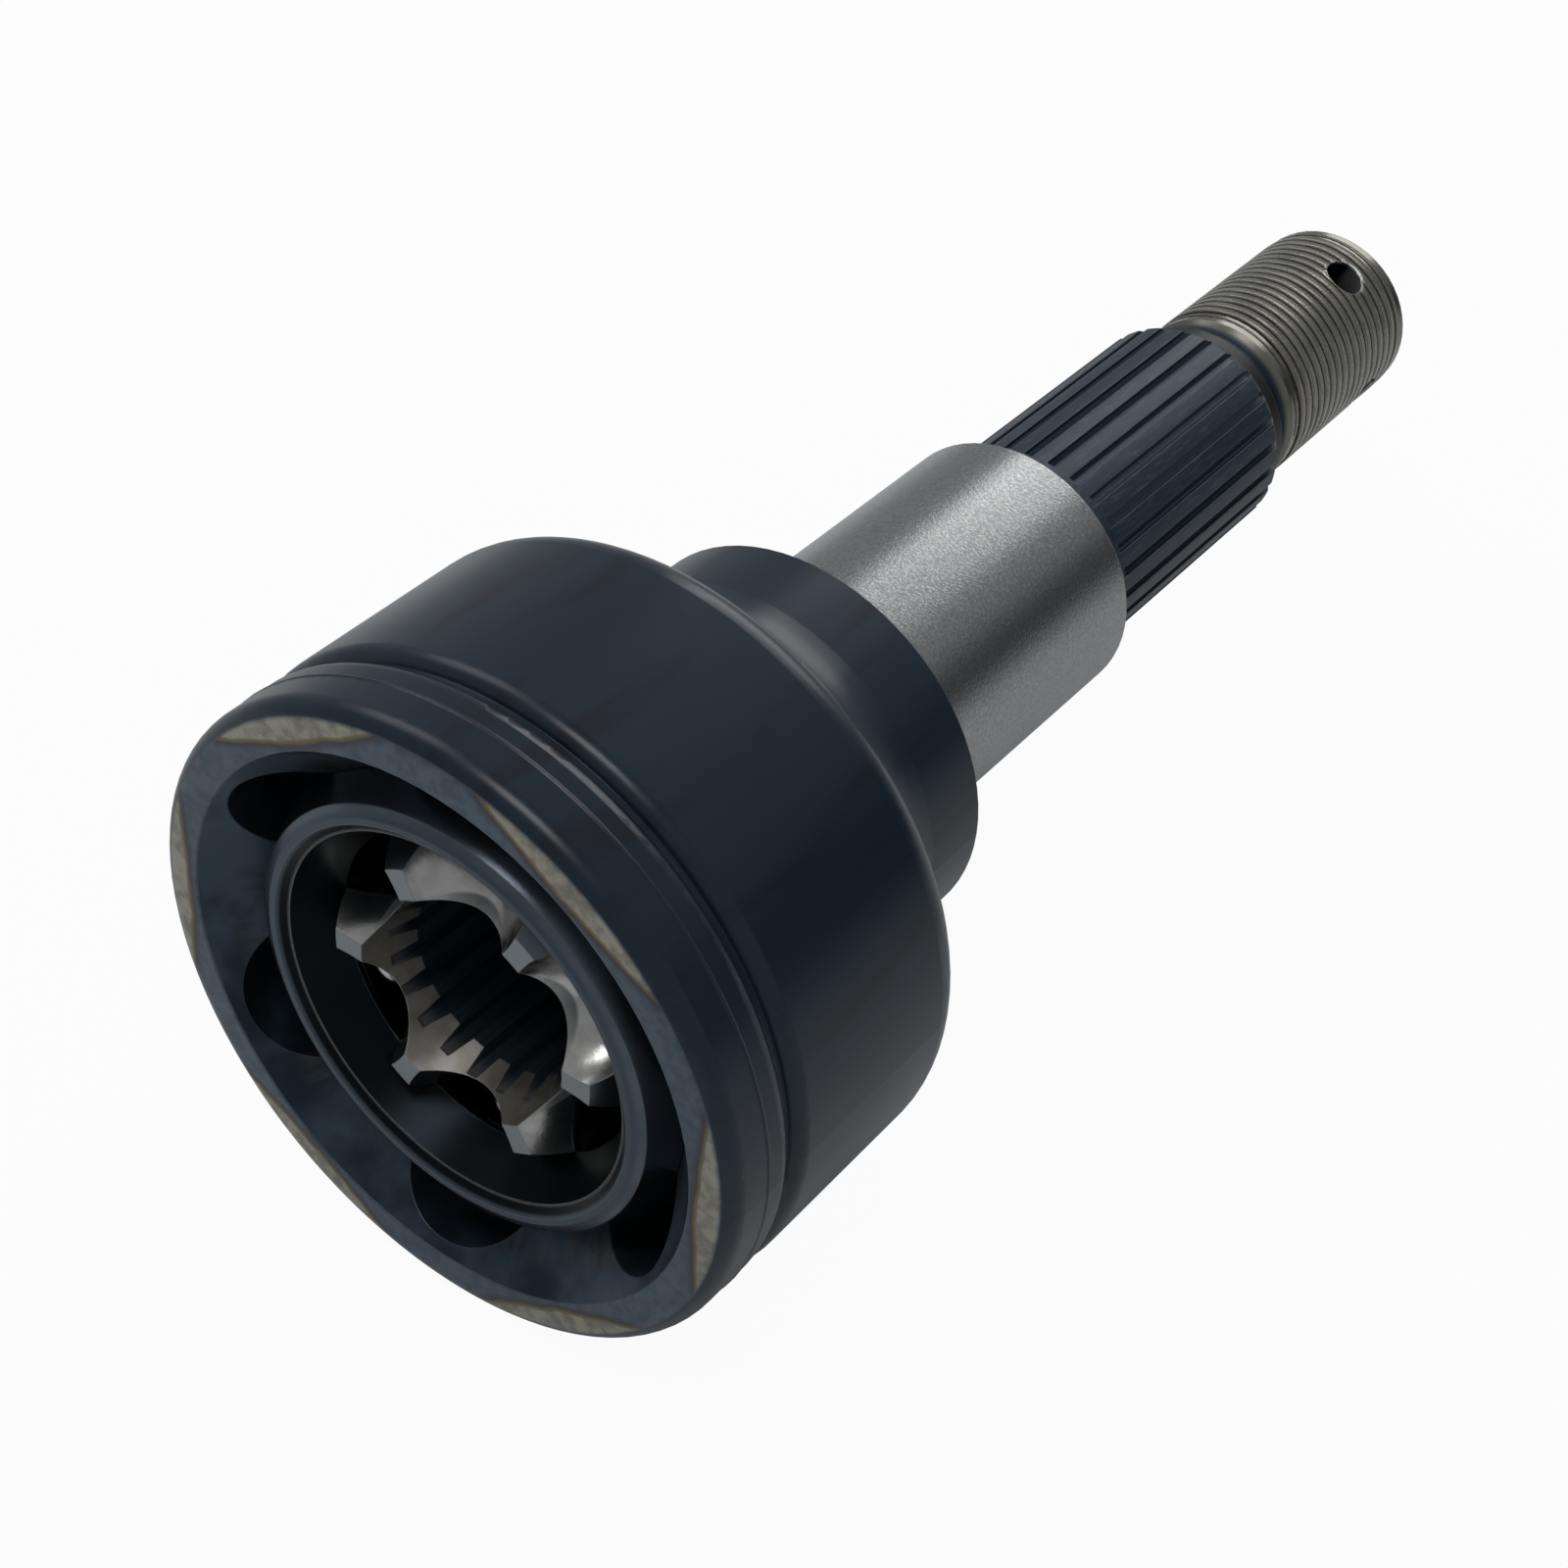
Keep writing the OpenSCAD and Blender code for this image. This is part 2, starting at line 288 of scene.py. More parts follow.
class Graph(Nodes):
    """A material's node tree with its shader."""

    def __init__(self, name: str) -> None:
        """Makes a material of that name with its shader."""
        self.material = bpy.data.materials.new(name)
        self.material.use_nodes = True
        super().__init__(self.material.node_tree)
        self.shader = self.node("ShaderNodeBsdfPrincipled")
        self.output = self.node("ShaderNodeOutputMaterial")
        self.feed(self.output.inputs["Surface"], self.shader.outputs["BSDF"])

    def mixed(self, kind: str, factor: Value, a: object, b: object) -> Socket:
        """Adds a Mix node.

        Args:
            kind: "Float" for numbers or "Color" for colours.
            factor: 0 gives a, 1 gives b.
            a: First value.
            b: Second value.

        Returns:
            The blend.
        """
        made = self.node("ShaderNodeMix", data_type={"Float": "FLOAT", "Color": "RGBA"}[kind])
        for name, value in (("Factor_Float", factor), (f"A_{kind}", a), (f"B_{kind}", b)):
            self.feed(next(s for s in made.inputs if s.identifier == name), value)
        return next(s for s in made.outputs if s.identifier == f"Result_{kind}")

    def blend(self, factor: Value, a: Value, b: Value) -> Socket:
        """Blends two numbers: a at factor 0, b at factor 1."""
        return self.mixed("Float", factor, a, b)

    def mix(self, factor: Value, a: Paint, b: Paint) -> Socket:
        """Blends two colours: a at factor 0, b at factor 1."""
        return self.mixed("Color", factor, a, b)

    def noise(self, where: Socket, spots: Spots) -> Socket:
        """Adds a noise texture on coordinates in mm.

        Args:
            where: Coordinates in mm.
            spots: The noise's scale and octaves.

        Returns:
            The noise as a number around 0.5.
        """
        made = self.node("ShaderNodeTexNoise")
        self.feed_all(made, Vector=where, Scale=spots.scale, Detail=spots.detail, Roughness=spots.rough)
        return made.outputs["Fac"]

    def spotted(self, where: Socket, spots: Spots) -> Socket:
        """Marks soft spots on coordinates in mm with 1."""
        return self.ramp(self.noise(where, spots), spots.start, spots.full)

    def rounded(self, radius: float, samples: int) -> Socket:
        """Gives the normal of a surface whose sharp edges are rounded.

        Args:
            radius: The rounding in mm.
            samples: Samples of the Bevel node.

        Returns:
            The normal.
        """
        made = self.node("ShaderNodeBevel", samples=samples)
        self.feed(made.inputs["Radius"], radius * MM)
        return made.outputs[0]

    def edges(self, radius: float) -> Socket:
        """Marks sharp edges, as wide as the radius in mm, with 1 on the edge."""
        surface = self.node("ShaderNodeNewGeometry")
        rounded = self.rounded(radius, EDGE_SAMPLES)
        return self.ramp(self.dot(rounded, surface.outputs["Normal"]), *EDGE_COSINES)

    def bump(self, height: Socket, relief: Relief) -> None:
        """Gives the shader rounded edges and a bump.

        Args:
            height: The bump's height, from 0 to 1.
            relief: The bump's depth and the rounding of the edges.
        """
        made = self.node("ShaderNodeBump")
        self.feed_all(made, Strength=1.0, Distance=relief.depth * MM, Height=height)
        self.feed(made.inputs["Normal"], self.rounded(relief.edge, BUMP_SAMPLES))
        self.feed(self.shader.inputs["Normal"], made.outputs[0])

    def finish(self, colour: Paint, metallic: Value, roughness: Value) -> bpy.types.Material:
        """Feeds the shader's main inputs.

        Args:
            colour: Base colour.
            metallic: Metallic share.
            roughness: Roughness.

        Returns:
            The finished material.
        """
        self.feed_all(self.shader, Base_Color=colour, Metallic=metallic, Roughness=roughness)
        return self.material


@dataclass
class Zone:
    """A part of a node's surface: its mask, its colour and the steel whose sheen it has."""

    mask: Socket
    colour: Paint
    steel: Steel


@dataclass
class Coat:
    """A surface's colour, metallic share and roughness, as zones are laid over each other."""

    graph: Graph
    colour: Paint
    metallic: Value
    roughness: Value

    def lay(self, zones: tuple[Zone, ...]) -> None:
        """Lays zones over the coat, the last one on top.

        Args:
            zones: The zones in their order.
        """
        for zone in zones:
            self.colour = self.graph.mix(zone.mask, self.colour, zone.colour)
            self.metallic = self.graph.blend(zone.mask, self.metallic, zone.steel.metallic)
            self.roughness = self.graph.blend(zone.mask, self.roughness, zone.steel.roughness)

    def finish(self) -> bpy.types.Material:
        """Feeds the coat to the shader and gives the material."""
        return self.graph.finish(self.colour, self.metallic, self.roughness)


@dataclass
class Place:
    """Where a shaded point lies on the joint, as sockets in mm and degrees."""

    graph: Graph
    point: Socket
    along: Socket
    radius: Socket
    turn: Socket

    @classmethod
    def of(cls, graph: Graph) -> Place:
        """Builds the sockets from the object's own coordinates.

        Args:
            graph: The material's tree.

        Returns:
            The place.
        """
        scaled = graph.node("ShaderNodeVectorMath", operation="SCALE")
        graph.feed(scaled.inputs[0], graph.node("ShaderNodeTexCoord").outputs["Object"])
        graph.feed(scaled.inputs["Scale"], 1 / MM)
        x, y, z = graph.split(scaled.outputs[0])
        turn = graph.times(graph.maths("ARCTAN2", x, z), 180 / math.pi)
        return cls(graph, scaled.outputs[0], y, graph.hypotenuse(x, z), turn)

    def wrapped(self, turn: float, along: float, depth: Value = 0.0) -> Socket:
        """Gives coordinates that wrap round the axis, for streaks.

        Args:
            turn: Spots' size for each degree round the axis.
            along: Spots' size for each mm along it.
            depth: Third coordinate.

        Returns:
            The coordinates.
        """
        graph = self.graph
        return graph.vector(graph.times(self.turn, turn), graph.times(self.along, along), depth)


@dataclass(frozen=True)
class CrossHoles:
    """The two split pin holes through the thread, a quarter turn apart."""

    y: float = 142.25
    r: float = 2.4
    angles: Pair = (24.0, 114.0)


@dataclass(frozen=True)
class ThreadFinish:
    """Straw-tinted steel of the hub nut thread, with painted shade in its valleys and its cross holes and a
    painted highlight on the holes' edge towards the shaft end.
    """

    crest: Steel = Steel("89867c", 0.9, 0.25)
    # Darker colour painted into the valleys between the ridges, as painted shade.
    valley_shade: Steel = Steel("77756d", 0.85, 0.28)
    straw: str = "776746"
    worn: str = "72706a"
    # Painted shade inside the cross holes and a near-white painted highlight on their edge towards the
    # shaft end.
    hole_shade: str = "2a3846"
    hole_glint: str = "d6d5d1"
    smudges: Spots = Spots(0.25, start=0.45)
    grain: Spots = Spots(4.0, 2.0)
    dents: Spots = Spots(3.0)
    relief: Relief = Relief(0.02, 0.06)
    root_r: float = 10.72
    crest_r: float = 10.82
    straw_start_y: float = 124.6
    straw_full_y: float = 121.2
    polish: Pair = (-0.06, 0.12)
    wall_edge: Pair = (0.12, 0.06)
    # Width, side, rise and depth of the painted highlight at the holes' edge.
    glint_edge: Pair = (0.4, 0.2)
    glint_side: Pair = (0.85, 0.5)
    glint_rise: Pair = (1.3, 2.0)
    glint_depth_r: Pair = (6.0, 8.5)
    holes: CrossHoles = CrossHoles()

    def colour(self, graph: Graph, place: Place) -> Socket:
        """Gives the thread's colour: straw at the relief, painted shade in the valleys and in the cross
        holes, and a painted highlight on the holes' edge.

        Args:
            graph: The material's tree.
            place: The shaded point's place.

        Returns:
            The colour.
        """
        high = graph.ramp(place.radius, self.root_r, self.crest_r)
        straw = graph.ramp(place.along, self.straw_start_y, self.straw_full_y)
        metal = graph.mix(straw, self.crest.colour, self.straw)
        metal = graph.mix(graph.spotted(place.point, self.smudges), metal, self.worn)
        # Painted shade: the valleys get a darker colour than the crests.
        metal = graph.mix(high, self.valley_shade.colour, metal)
        shaded_wall, glint = self.drilled(graph, place)
        # Painted shade on the hole walls, then the painted highlight on their edge.
        return graph.mix(glint, graph.mix(shaded_wall, metal, self.hole_shade), self.hole_glint)

    def drilled(self, graph: Graph, place: Place) -> tuple[Socket, Socket]:
        """Marks the walls of the cross holes, which take a painted shade, and a painted highlight on the
        holes' edge towards the shaft end.

        Args:
            graph: The material's tree.
            place: The shaded point's place.

        Returns:
            The mask of the painted shade on the walls and the mask of the painted highlight.
        """
        x, y, z = graph.split(place.point)
        down = graph.minus(y, self.holes.y)
        shaded_wall: Value = 0.0
        glint: Value = 0.0
        for angle in self.holes.angles:
            sine, cosine = math.sin(math.radians(angle)), math.cos(math.radians(angle))
            across = graph.minus(graph.times(x, cosine), graph.times(z, sine))
            distance = graph.hypotenuse(across, down)
            ring = graph.ramp(distance, *(self.holes.r + edge for edge in self.glint_edge))
            down_share, across_share = self.glint_side
            toward = graph.plus(graph.times(down, down_share), graph.times(across, across_share))
            in_hole = graph.ramp(distance, *(self.holes.r + edge for edge in self.wall_edge))
            shaded_wall = graph.larger(shaded_wall, in_hole)
            glint = graph.larger(glint, graph.both(ring, graph.ramp(toward, *self.glint_rise)))
        return shaded_wall, graph.both(glint, graph.ramp(place.radius, *self.glint_depth_r))

    def material(self) -> bpy.types.Material:
        """Builds the material of the thread's ridges."""
        graph = Graph("thread_steel")
        place = Place.of(graph)
        graph.bump(graph.noise(place.point, self.dents), self.relief)
        grain = graph.noise(place.point, self.grain)
        roughness = graph.blend(grain, *(self.crest.roughness + change for change in self.polish))
        return graph.finish(self.colour(graph, place), self.crest.metallic, roughness)


@dataclass(frozen=True)
class RimFinish:
    """The rim face's heat tint: straw lenses at the six lands, fringed brown and blue."""

    steel: Steel = Steel("58646f", 0.7, 0.38)
    steel_mottled: str = "4a5661"
    straw: str = "a19e91"
    straw_mottled: str = "807d73"
    purple: str = "4a484e"
    brown: str = "746849"
    mottle: Spots = Spots(0.8)
    wander: Spots = Spots(0.35)
    wander_width: float = 0.7
    track_spacing: float = 60.0
    lens_centre_r: float = 29.75
    lens_end_r: float = 31.7
    lens_half_turn: float = 17.8
    outer_start_r: float = 31.75
    outer_full_r: float = 32.3
    purple_edge: Pair = (-1.2, -0.3)
    brown_edge: Pair = (-0.35, 0.0)
    straw_edge: Pair = (0.0, 0.35)

    def depth(self, graph: Graph, place: Place) -> Socket:
        """Gives how far a point lies outside the lens's inner edge, in mm.

        Args:
            graph: The material's tree.
            place: The shaded point's place.

        Returns:
            The depth, below 0 inside the edge.
        """
        half = self.track_spacing / 2
        from_track = graph.node("ShaderNodeMath", operation="WRAP")
        for socket, value in zip(from_track.inputs, (place.turn, half, -half)):
            graph.feed(socket, value)
        from_land = graph.minus(half, graph.maths("ABSOLUTE", from_track.outputs[0]))
        share = graph.maths("DIVIDE", from_land, self.lens_half_turn)
        rise = graph.times(graph.times(share, share), self.lens_end_r - self.lens_centre_r)
        wander = graph.times(graph.minus(graph.noise(place.point, self.wander), 0.5), self.wander_width)
        return graph.minus(place.radius, graph.plus(graph.plus(rise, self.lens_centre_r), wander))

    def colour(self, graph: Graph, place: Place) -> Socket:
        """Gives the rim's colour, from blue steel over purple and brown to straw.

        Args:
            graph: The material's tree.
            place: The shaded point's place.

        Returns:
            The colour.
        """
        depth = self.depth(graph, place)
        mottle = graph.spotted(place.point, self.mottle)
        straw = graph.mix(mottle, self.straw, self.straw_mottled)
        blue = graph.mix(mottle, self.steel.colour, self.steel_mottled)
        purple = graph.mix(graph.ramp(depth, *self.purple_edge), blue, self.purple)
        brown = graph.mix(graph.ramp(depth, *self.brown_edge), purple, self.brown)
        tinted = graph.mix(graph.ramp(depth, *self.straw_edge), brown, straw)
        return graph.mix(graph.ramp(place.radius, self.outer_start_r, self.outer_full_r), tinted, blue)


@dataclass(frozen=True)
class HollowFinish:
    """The inside of the bell: dark blue cone, with worn brown streaks near the cage."""

    steel: Steel = Steel("3c4b59", 0.6, 0.34)
    shaded: str = "1d2831"
    worn: str = "4c4b49"
    shade: Spots = Spots(0.12, start=0.35, full=0.65)
    rubs: Spots = Spots(0.5, 5.0, 0.7, 0.42, 0.62)
    rub_turn: float = 0.9
    rub_along: float = 0.12
    rub_inner_r: float = 20.0
    rub_outer_r: float = 26.6
    rub_back_y: float = -5.0
    rub_front_y: float = -8.0
    rub_share: float = 0.45
    rub_soft: float = 2.0

    def colour(self, graph: Graph, place: Place) -> Socket:
        """Gives the hollow's colour.

        Args:
            graph: The material's tree.
            place: The shaded point's place.

        Returns:
            The colour.
        """
        rubbed = graph.spotted(place.wrapped(self.rub_turn, self.rub_along, place.radius), self.rubs)
        near = graph.band(place.radius, self.rub_inner_r, self.rub_outer_r, self.rub_soft)
        front = graph.ramp(place.along, self.rub_back_y, self.rub_front_y)
        base = graph.mix(graph.spotted(place.point, self.shade), self.steel.colour, self.shaded)
        return graph.mix(graph.times(graph.both(near, front, rubbed), self.rub_share), base, self.worn)


@dataclass(frozen=True)
class SplineFinish:
    """The hub spline: dusty dark lands, painted shade on the groove walls and painted light on the groove
    floors.
    """

    steel: Steel = Steel("1c2c39", 0.1, 0.42)
    dust: str = "435462"
    # Painted shade on the groove walls, and painted light that lifts the groove floors.
    shaded_wall: str = "0d1319"
    floor: str = "4b5966"
    dusty: Spots = Spots(1.4, 6.0, 0.75, 0.5, 0.72)
    dust_turn: float = 0.5
    dust_along: float = 0.2
    wall_r: float = 12.55
    floor_end_y: float = 114.6
    wall_soft: float = 0.12
    low_edge: Pair = (-0.1, -0.35)
    floor_soft: float = 0.4

    def colour(self, graph: Graph, place: Place) -> Socket:
        """Gives the spline's colour.

        Args:
            graph: The material's tree.
            place: The shaded point's place.

        Returns:
            The colour.
        """
        dusty = graph.spotted(place.wrapped(self.dust_turn, self.dust_along, place.radius), self.dusty)
        shaded_wall = graph.ramp(place.radius, self.wall_r + self.wall_soft, self.wall_r)
        low = graph.ramp(place.radius, *(self.wall_r + edge for edge in self.low_edge))
        floor_end = graph.ramp(place.along, self.floor_end_y + self.floor_soft, self.floor_end_y)
        floor = graph.both(low, floor_end)
        # Painted shade on the groove walls, then painted light on the groove floors.
        colour = graph.mix(shaded_wall, graph.mix(dusty, self.steel.colour, self.dust), self.shaded_wall)
        return graph.mix(floor, colour, self.floor)


@dataclass(frozen=True)
class ForgedFinish:
    """The outer race: black oxide, tinted rim, ground journal, dark spline and straw thread."""

    oxide: Steel = Steel("142430", 0.0, 0.27)
    oxide_blue: str = "192935"
    oxide_purple: str = "121923"
    ground: Steel = Steel("8d9090", 1.0, 0.27)
    ground_speckle: str = "a3a5a4"
    relief_steel: Steel = Steel("182534", 0.3, 0.4)
    worn_edge: str = "75808a"
    rim: RimFinish = RimFinish()
    hollow: HollowFinish = HollowFinish()
    spline: SplineFinish = SplineFinish()
    thread: ThreadFinish = ThreadFinish()
    oxide_gloss: float = 0.32
    polish: Pair = (-0.04, 0.08)
    smudge_turn: float = 0.1
    smudge_along: float = 0.03
    smudges: Spots = Spots(1.2, 4.0, start=0.5, full=0.72)
    clouds: Spots = Spots(0.03, 2.0, start=0.4, full=0.65)
    sheen: Spots = Spots(0.05)
    speckle: Spots = Spots(3.2, 2.0, 0.8, 0.42, 0.62)
    ground_grain: Spots = Spots(4.0, 2.0, 0.7)
    forged_grain: Spots = Spots(0.9, 4.0, 0.6)
    forged_grain_share: float = 0.14
    relief: Relief = Relief(0.03, 0.2)
    edge_width: float = 0.22
    edge_share: float = 0.35
    bore_end_y: float = 17.0
    bore_r: float = 31.0
    floor_y: float = 21.2
    floor_r: float = 20.0
    rim_face_y: float = -15.4
    shoulder_y: float = 39.3
    journal_r: float = 20.2
    journal_end_y: float = 77.2
    collar_end_y: float = 117.4
    thread_y: float = 120.7
    inside_soft: float = 0.2
    ground_soft: float = 0.1
    rim_soft: float = 0.12
    spline_edge: Pair = (-0.05, 0.05)
    relief_edge: Pair = (-0.15, 0.1)
    thread_edge: Pair = (-0.5, 0.1)

    def oxide_colour(self, graph: Graph, place: Place) -> Socket:
        """Gives the oxide's colour with its faint purple and blue smudges.

        Args:
            graph: The material's tree.
            place: The shaded point's place.

        Returns:
            The colour.
        """
        bluer = graph.spotted(place.point, self.clouds)
        smudge = graph.spotted(place.wrapped(self.smudge_turn, self.smudge_along), self.smudges)
        return graph.mix(smudge, graph.mix(bluer, self.oxide.colour, self.oxide_blue), self.oxide_purple)

    def zones(self, graph: Graph, place: Place) -> tuple[Zone, ...]:
        """Gives the forging's zones, in the order in which they are laid.

        Args:
            graph: The material's tree.
            place: The shaded point's place.

        Returns:
            Hollow, rim, journal, spline, relief and thread.
        """
        along, radius = place.along, place.radius
        soft = self.inside_soft
        bore_end = graph.ramp(along, self.bore_end_y + soft, self.bore_end_y)
        in_bore = graph.both(bore_end, graph.ramp(radius, self.bore_r + soft, self.bore_r))
        floor_end = graph.ramp(along, self.floor_y + soft, self.floor_y)
        deep = graph.both(floor_end, graph.ramp(radius, self.floor_r + soft, self.floor_r))
        ground_y = graph.band(along, self.shoulder_y, self.journal_end_y, self.ground_soft)
        journal = graph.both(ground_y, graph.ramp(radius, self.journal_r + soft, self.journal_r))
        speckle = graph.spotted(place.point, self.speckle)
        ground = graph.mix(speckle, self.ground.colour, self.ground_speckle)
        rim = graph.ramp(along, self.rim_face_y + self.rim_soft, self.rim_face_y)
        spline = graph.ramp(along, *(self.journal_end_y + edge for edge in self.spline_edge))
        relief = graph.ramp(along, *(self.collar_end_y + edge for edge in self.relief_edge))
        thread = graph.ramp(along, *(self.thread_y + edge for edge in self.thread_edge))
        return (
            Zone(graph.larger(in_bore, deep), self.hollow.colour(graph, place), self.hollow.steel),
            Zone(rim, self.rim.colour(graph, place), self.rim.steel),
            Zone(journal, ground, self.ground),
            Zone(spline, self.spline.colour(graph, place), self.spline.steel),
            Zone(relief, self.relief_steel.colour, self.relief_steel),
            Zone(thread, self.thread.colour(graph, place), self.thread.crest),
        )

    def material(self) -> bpy.types.Material:
        """Builds the outer race's material from its zones."""
        graph = Graph(Slot.FORGED.value)
        place = Place.of(graph)
        sheen = graph.noise(place.point, self.sheen)
        roughness = graph.blend(sheen, *(self.oxide.roughness + change for change in self.polish))
        coat = Coat(graph, self.oxide_colour(graph, place), self.oxide.metallic, roughness)
        zones = self.zones(graph, place)
        coat.lay(zones)
        hollow, journal, spline = zones[0].mask, zones[2].mask, zones[3].mask
        edge = graph.both(graph.edges(self.edge_width), graph.larger(spline, hollow))
        coat.colour = graph.mix(graph.times(edge, self.edge_share), coat.colour, self.worn_edge)
        forged = graph.times(graph.noise(place.point, self.forged_grain), self.forged_grain_share)
        ground = graph.noise(place.point, self.ground_grain)
        graph.bump(graph.blend(journal, forged, ground), self.relief)
        graph.feed(graph.shader.inputs["Specular IOR Level"], self.oxide_gloss)
        return coat.finish()


@dataclass(frozen=True)
class CageFinish:
    """Dark hardened steel of the cage, with a lighter ground front ring and a painted shade that makes its
    inside nearly black.
    """

    sphere: Steel = Steel("59626a", 0.95, 0.25)
    sphere_smudged: str = "4b545b"
    face: Steel = Steel("4a545d", 0.9, 0.34)
    # Near-black colour of the cage's inside, a painted shade.
    inside: Steel = Steel("13181c", 0.7, 0.3)
    worn_edge: str = "9aa1a5"
    smudges: Spots = Spots(0.15, 4.0, start=0.4)
    turning: Spots = Spots(1.0)
    turning_scale: float = 3.0
    relief: Relief = Relief(0.006, 0.25)
    edge_width: float = 0.3
    edge_share: float = 0.7
    face_y: float = -13.6
    sphere_r: float = 25.6
    face_soft: float = 0.3
    sphere_soft: float = 0.4

    def material(self) -> bpy.types.Material:
        """Builds the cage's material from its front ring, its sphere and its inside, which takes a painted
        shade.
        """
        graph = Graph(Slot.CAGE.value)
        place = Place.of(graph)
        face = graph.ramp(place.along, self.face_y + self.face_soft, self.face_y)
        inner = graph.ramp(graph.length(place.point), self.sphere_r, self.sphere_r - self.sphere_soft)
        smudge = graph.spotted(place.point, self.smudges)
        colour = graph.mix(smudge, self.sphere.colour, self.sphere_smudged)
        # Painted shade: the inside turns nearly black.
        colour = graph.mix(inner, colour, self.inside.colour)
        colour = graph.mix(face, colour, self.face.colour)
        edge = graph.times(graph.edges(self.edge_width), self.edge_share)
        colour = graph.mix(edge, colour, self.worn_edge)
        body = graph.blend(inner, self.sphere.roughness, self.inside.roughness)
        roughness = graph.blend(face, body, self.face.roughness)
        across = graph.times(place.radius, self.turning_scale)
        turned = graph.vector(across, graph.times(place.along, self.turning_scale), 0.0)
        graph.bump(graph.noise(turned, self.turning), self.relief)
        return graph.finish(colour, self.sphere.metallic, roughness)


@dataclass(frozen=True)
class RaceFinish:
    """Ground steel of the inner race, darker on its land spheres, and with a painted shade that makes its
    bore nearly black further in.
    """

    track: Steel = Steel("b9b8b4", 1.0, 0.2)
    track_mottled: str = "a5a4a1"
    face: Steel = Steel("8b9194", 0.85, 0.45)
    land: Steel = Steel("5a636a", 0.95, 0.3)
    lead_in: Steel = Steel("8e8c88", 0.9, 0.4)
    lead_in_mottled: str = "7f7a70"
    # Dark colour of the bore, a painted shade that deepens further in.
    bore: Steel = Steel("27313a", 0.3, 0.45)
    bore_streaked: str = "36414a"
    mottle: Spots = Spots(0.5, 4.0)
    streaks: Spots = Spots(1.0, start=0.45, full=0.75)
    dents: Spots = Spots(2.5)
    relief: Relief = Relief(0.008, 0.15)
    land_r: float = 18.85
    face_y: float = 11.6
    cone_slope: float = -0.3272
    cone_foot_r: float = 8.02
    cone_end_y: float = -6.1
    bore_r: float = 11.6
    bore_front_y: float = -11.7
    bore_shade_full_y: float = -6.0
    bore_soft: float = 0.3
    land_soft: float = 0.1
    face_soft: float = 0.08
    cone_edge: Pair = (-0.12, -0.02)
    cone_end_soft: float = 0.2
    streak_turn: float = 0.6
    streak_along: float = 0.05

    def zones(self, graph: Graph, place: Place) -> tuple[Zone, ...]:
        """Gives the inner race's zones, in the order in which they are laid.

        Args:
            graph: The material's tree.
            place: The shaded point's place.

        Returns:
            Lands, end faces, bore and lead-in cone.
        """
        along, radius = place.along, place.radius
        land = graph.ramp(graph.length(place.point), self.land_r, self.land_r + self.land_soft)
        front = graph.ramp(along, -self.face_y, -self.face_y - self.face_soft)
        back = graph.ramp(along, self.face_y, self.face_y + self.face_soft)
        slope = graph.plus(graph.times(along, self.cone_slope), self.cone_foot_r)
        before_end = graph.ramp(along, self.cone_end_y, self.cone_end_y - self.cone_end_soft)
        cone = graph.both(graph.ramp(graph.minus(slope, radius), *self.cone_edge), before_end)
        # Painted shade: the bore darkens from its front towards the inside.
        deep = graph.ramp(along, self.bore_front_y, self.bore_shade_full_y)
        bore = graph.both(graph.ramp(radius, self.bore_r + self.bore_soft, self.bore_r), deep)
        streaked = graph.spotted(place.wrapped(self.streak_turn, self.streak_along), self.streaks)
        bore_colour = graph.mix(streaked, self.bore.colour, self.bore_streaked)
        mottled = graph.spotted(place.point, self.mottle)
        cone_colour = graph.mix(mottled, self.lead_in.colour, self.lead_in_mottled)
        return (
            Zone(land, self.land.colour, self.land),
            Zone(graph.larger(front, back), self.face.colour, self.face),
            Zone(bore, bore_colour, self.bore),
            Zone(cone, cone_colour, self.lead_in),
        )

    def material(self) -> bpy.types.Material:
        """Builds the inner race's material from its tracks, lands, faces and bore."""
        graph = Graph(Slot.RACE.value)
        place = Place.of(graph)
        mottled = graph.spotted(place.point, self.mottle)
        tracks = graph.mix(mottled, self.track.colour, self.track_mottled)
        coat = Coat(graph, tracks, self.track.metallic, self.track.roughness)
        coat.lay(self.zones(graph, place))
        graph.bump(graph.noise(place.point, self.dents), self.relief)
        return coat.finish()


@dataclass(frozen=True)
class BallFinish:
    """Polished bearing steel with faint rolling marks."""

    steel: Steel = Steel("c9cccf", 1.0, 0.1)
    filmed: str = "aeb2b5"
    film_dulling: float = 0.08
    film: Spots = Spots(0.3, 4.0, start=0.4)
    rolling: Spots = Spots(1.5, 2.0)
    relief: Relief = Relief(0.001, 0.05)

    def material(self) -> bpy.types.Material:
        """Builds the balls' material."""
        graph = Graph(Slot.BALL.value)
        place = Place.of(graph)
        film = graph.spotted(place.point, self.film)
        colour = graph.mix(film, self.steel.colour, self.filmed)
        roughness = graph.blend(film, self.steel.roughness, self.steel.roughness + self.film_dulling)
        graph.bump(graph.noise(place.point, self.rolling), self.relief)
        return graph.finish(colour, self.steel.metallic, roughness)


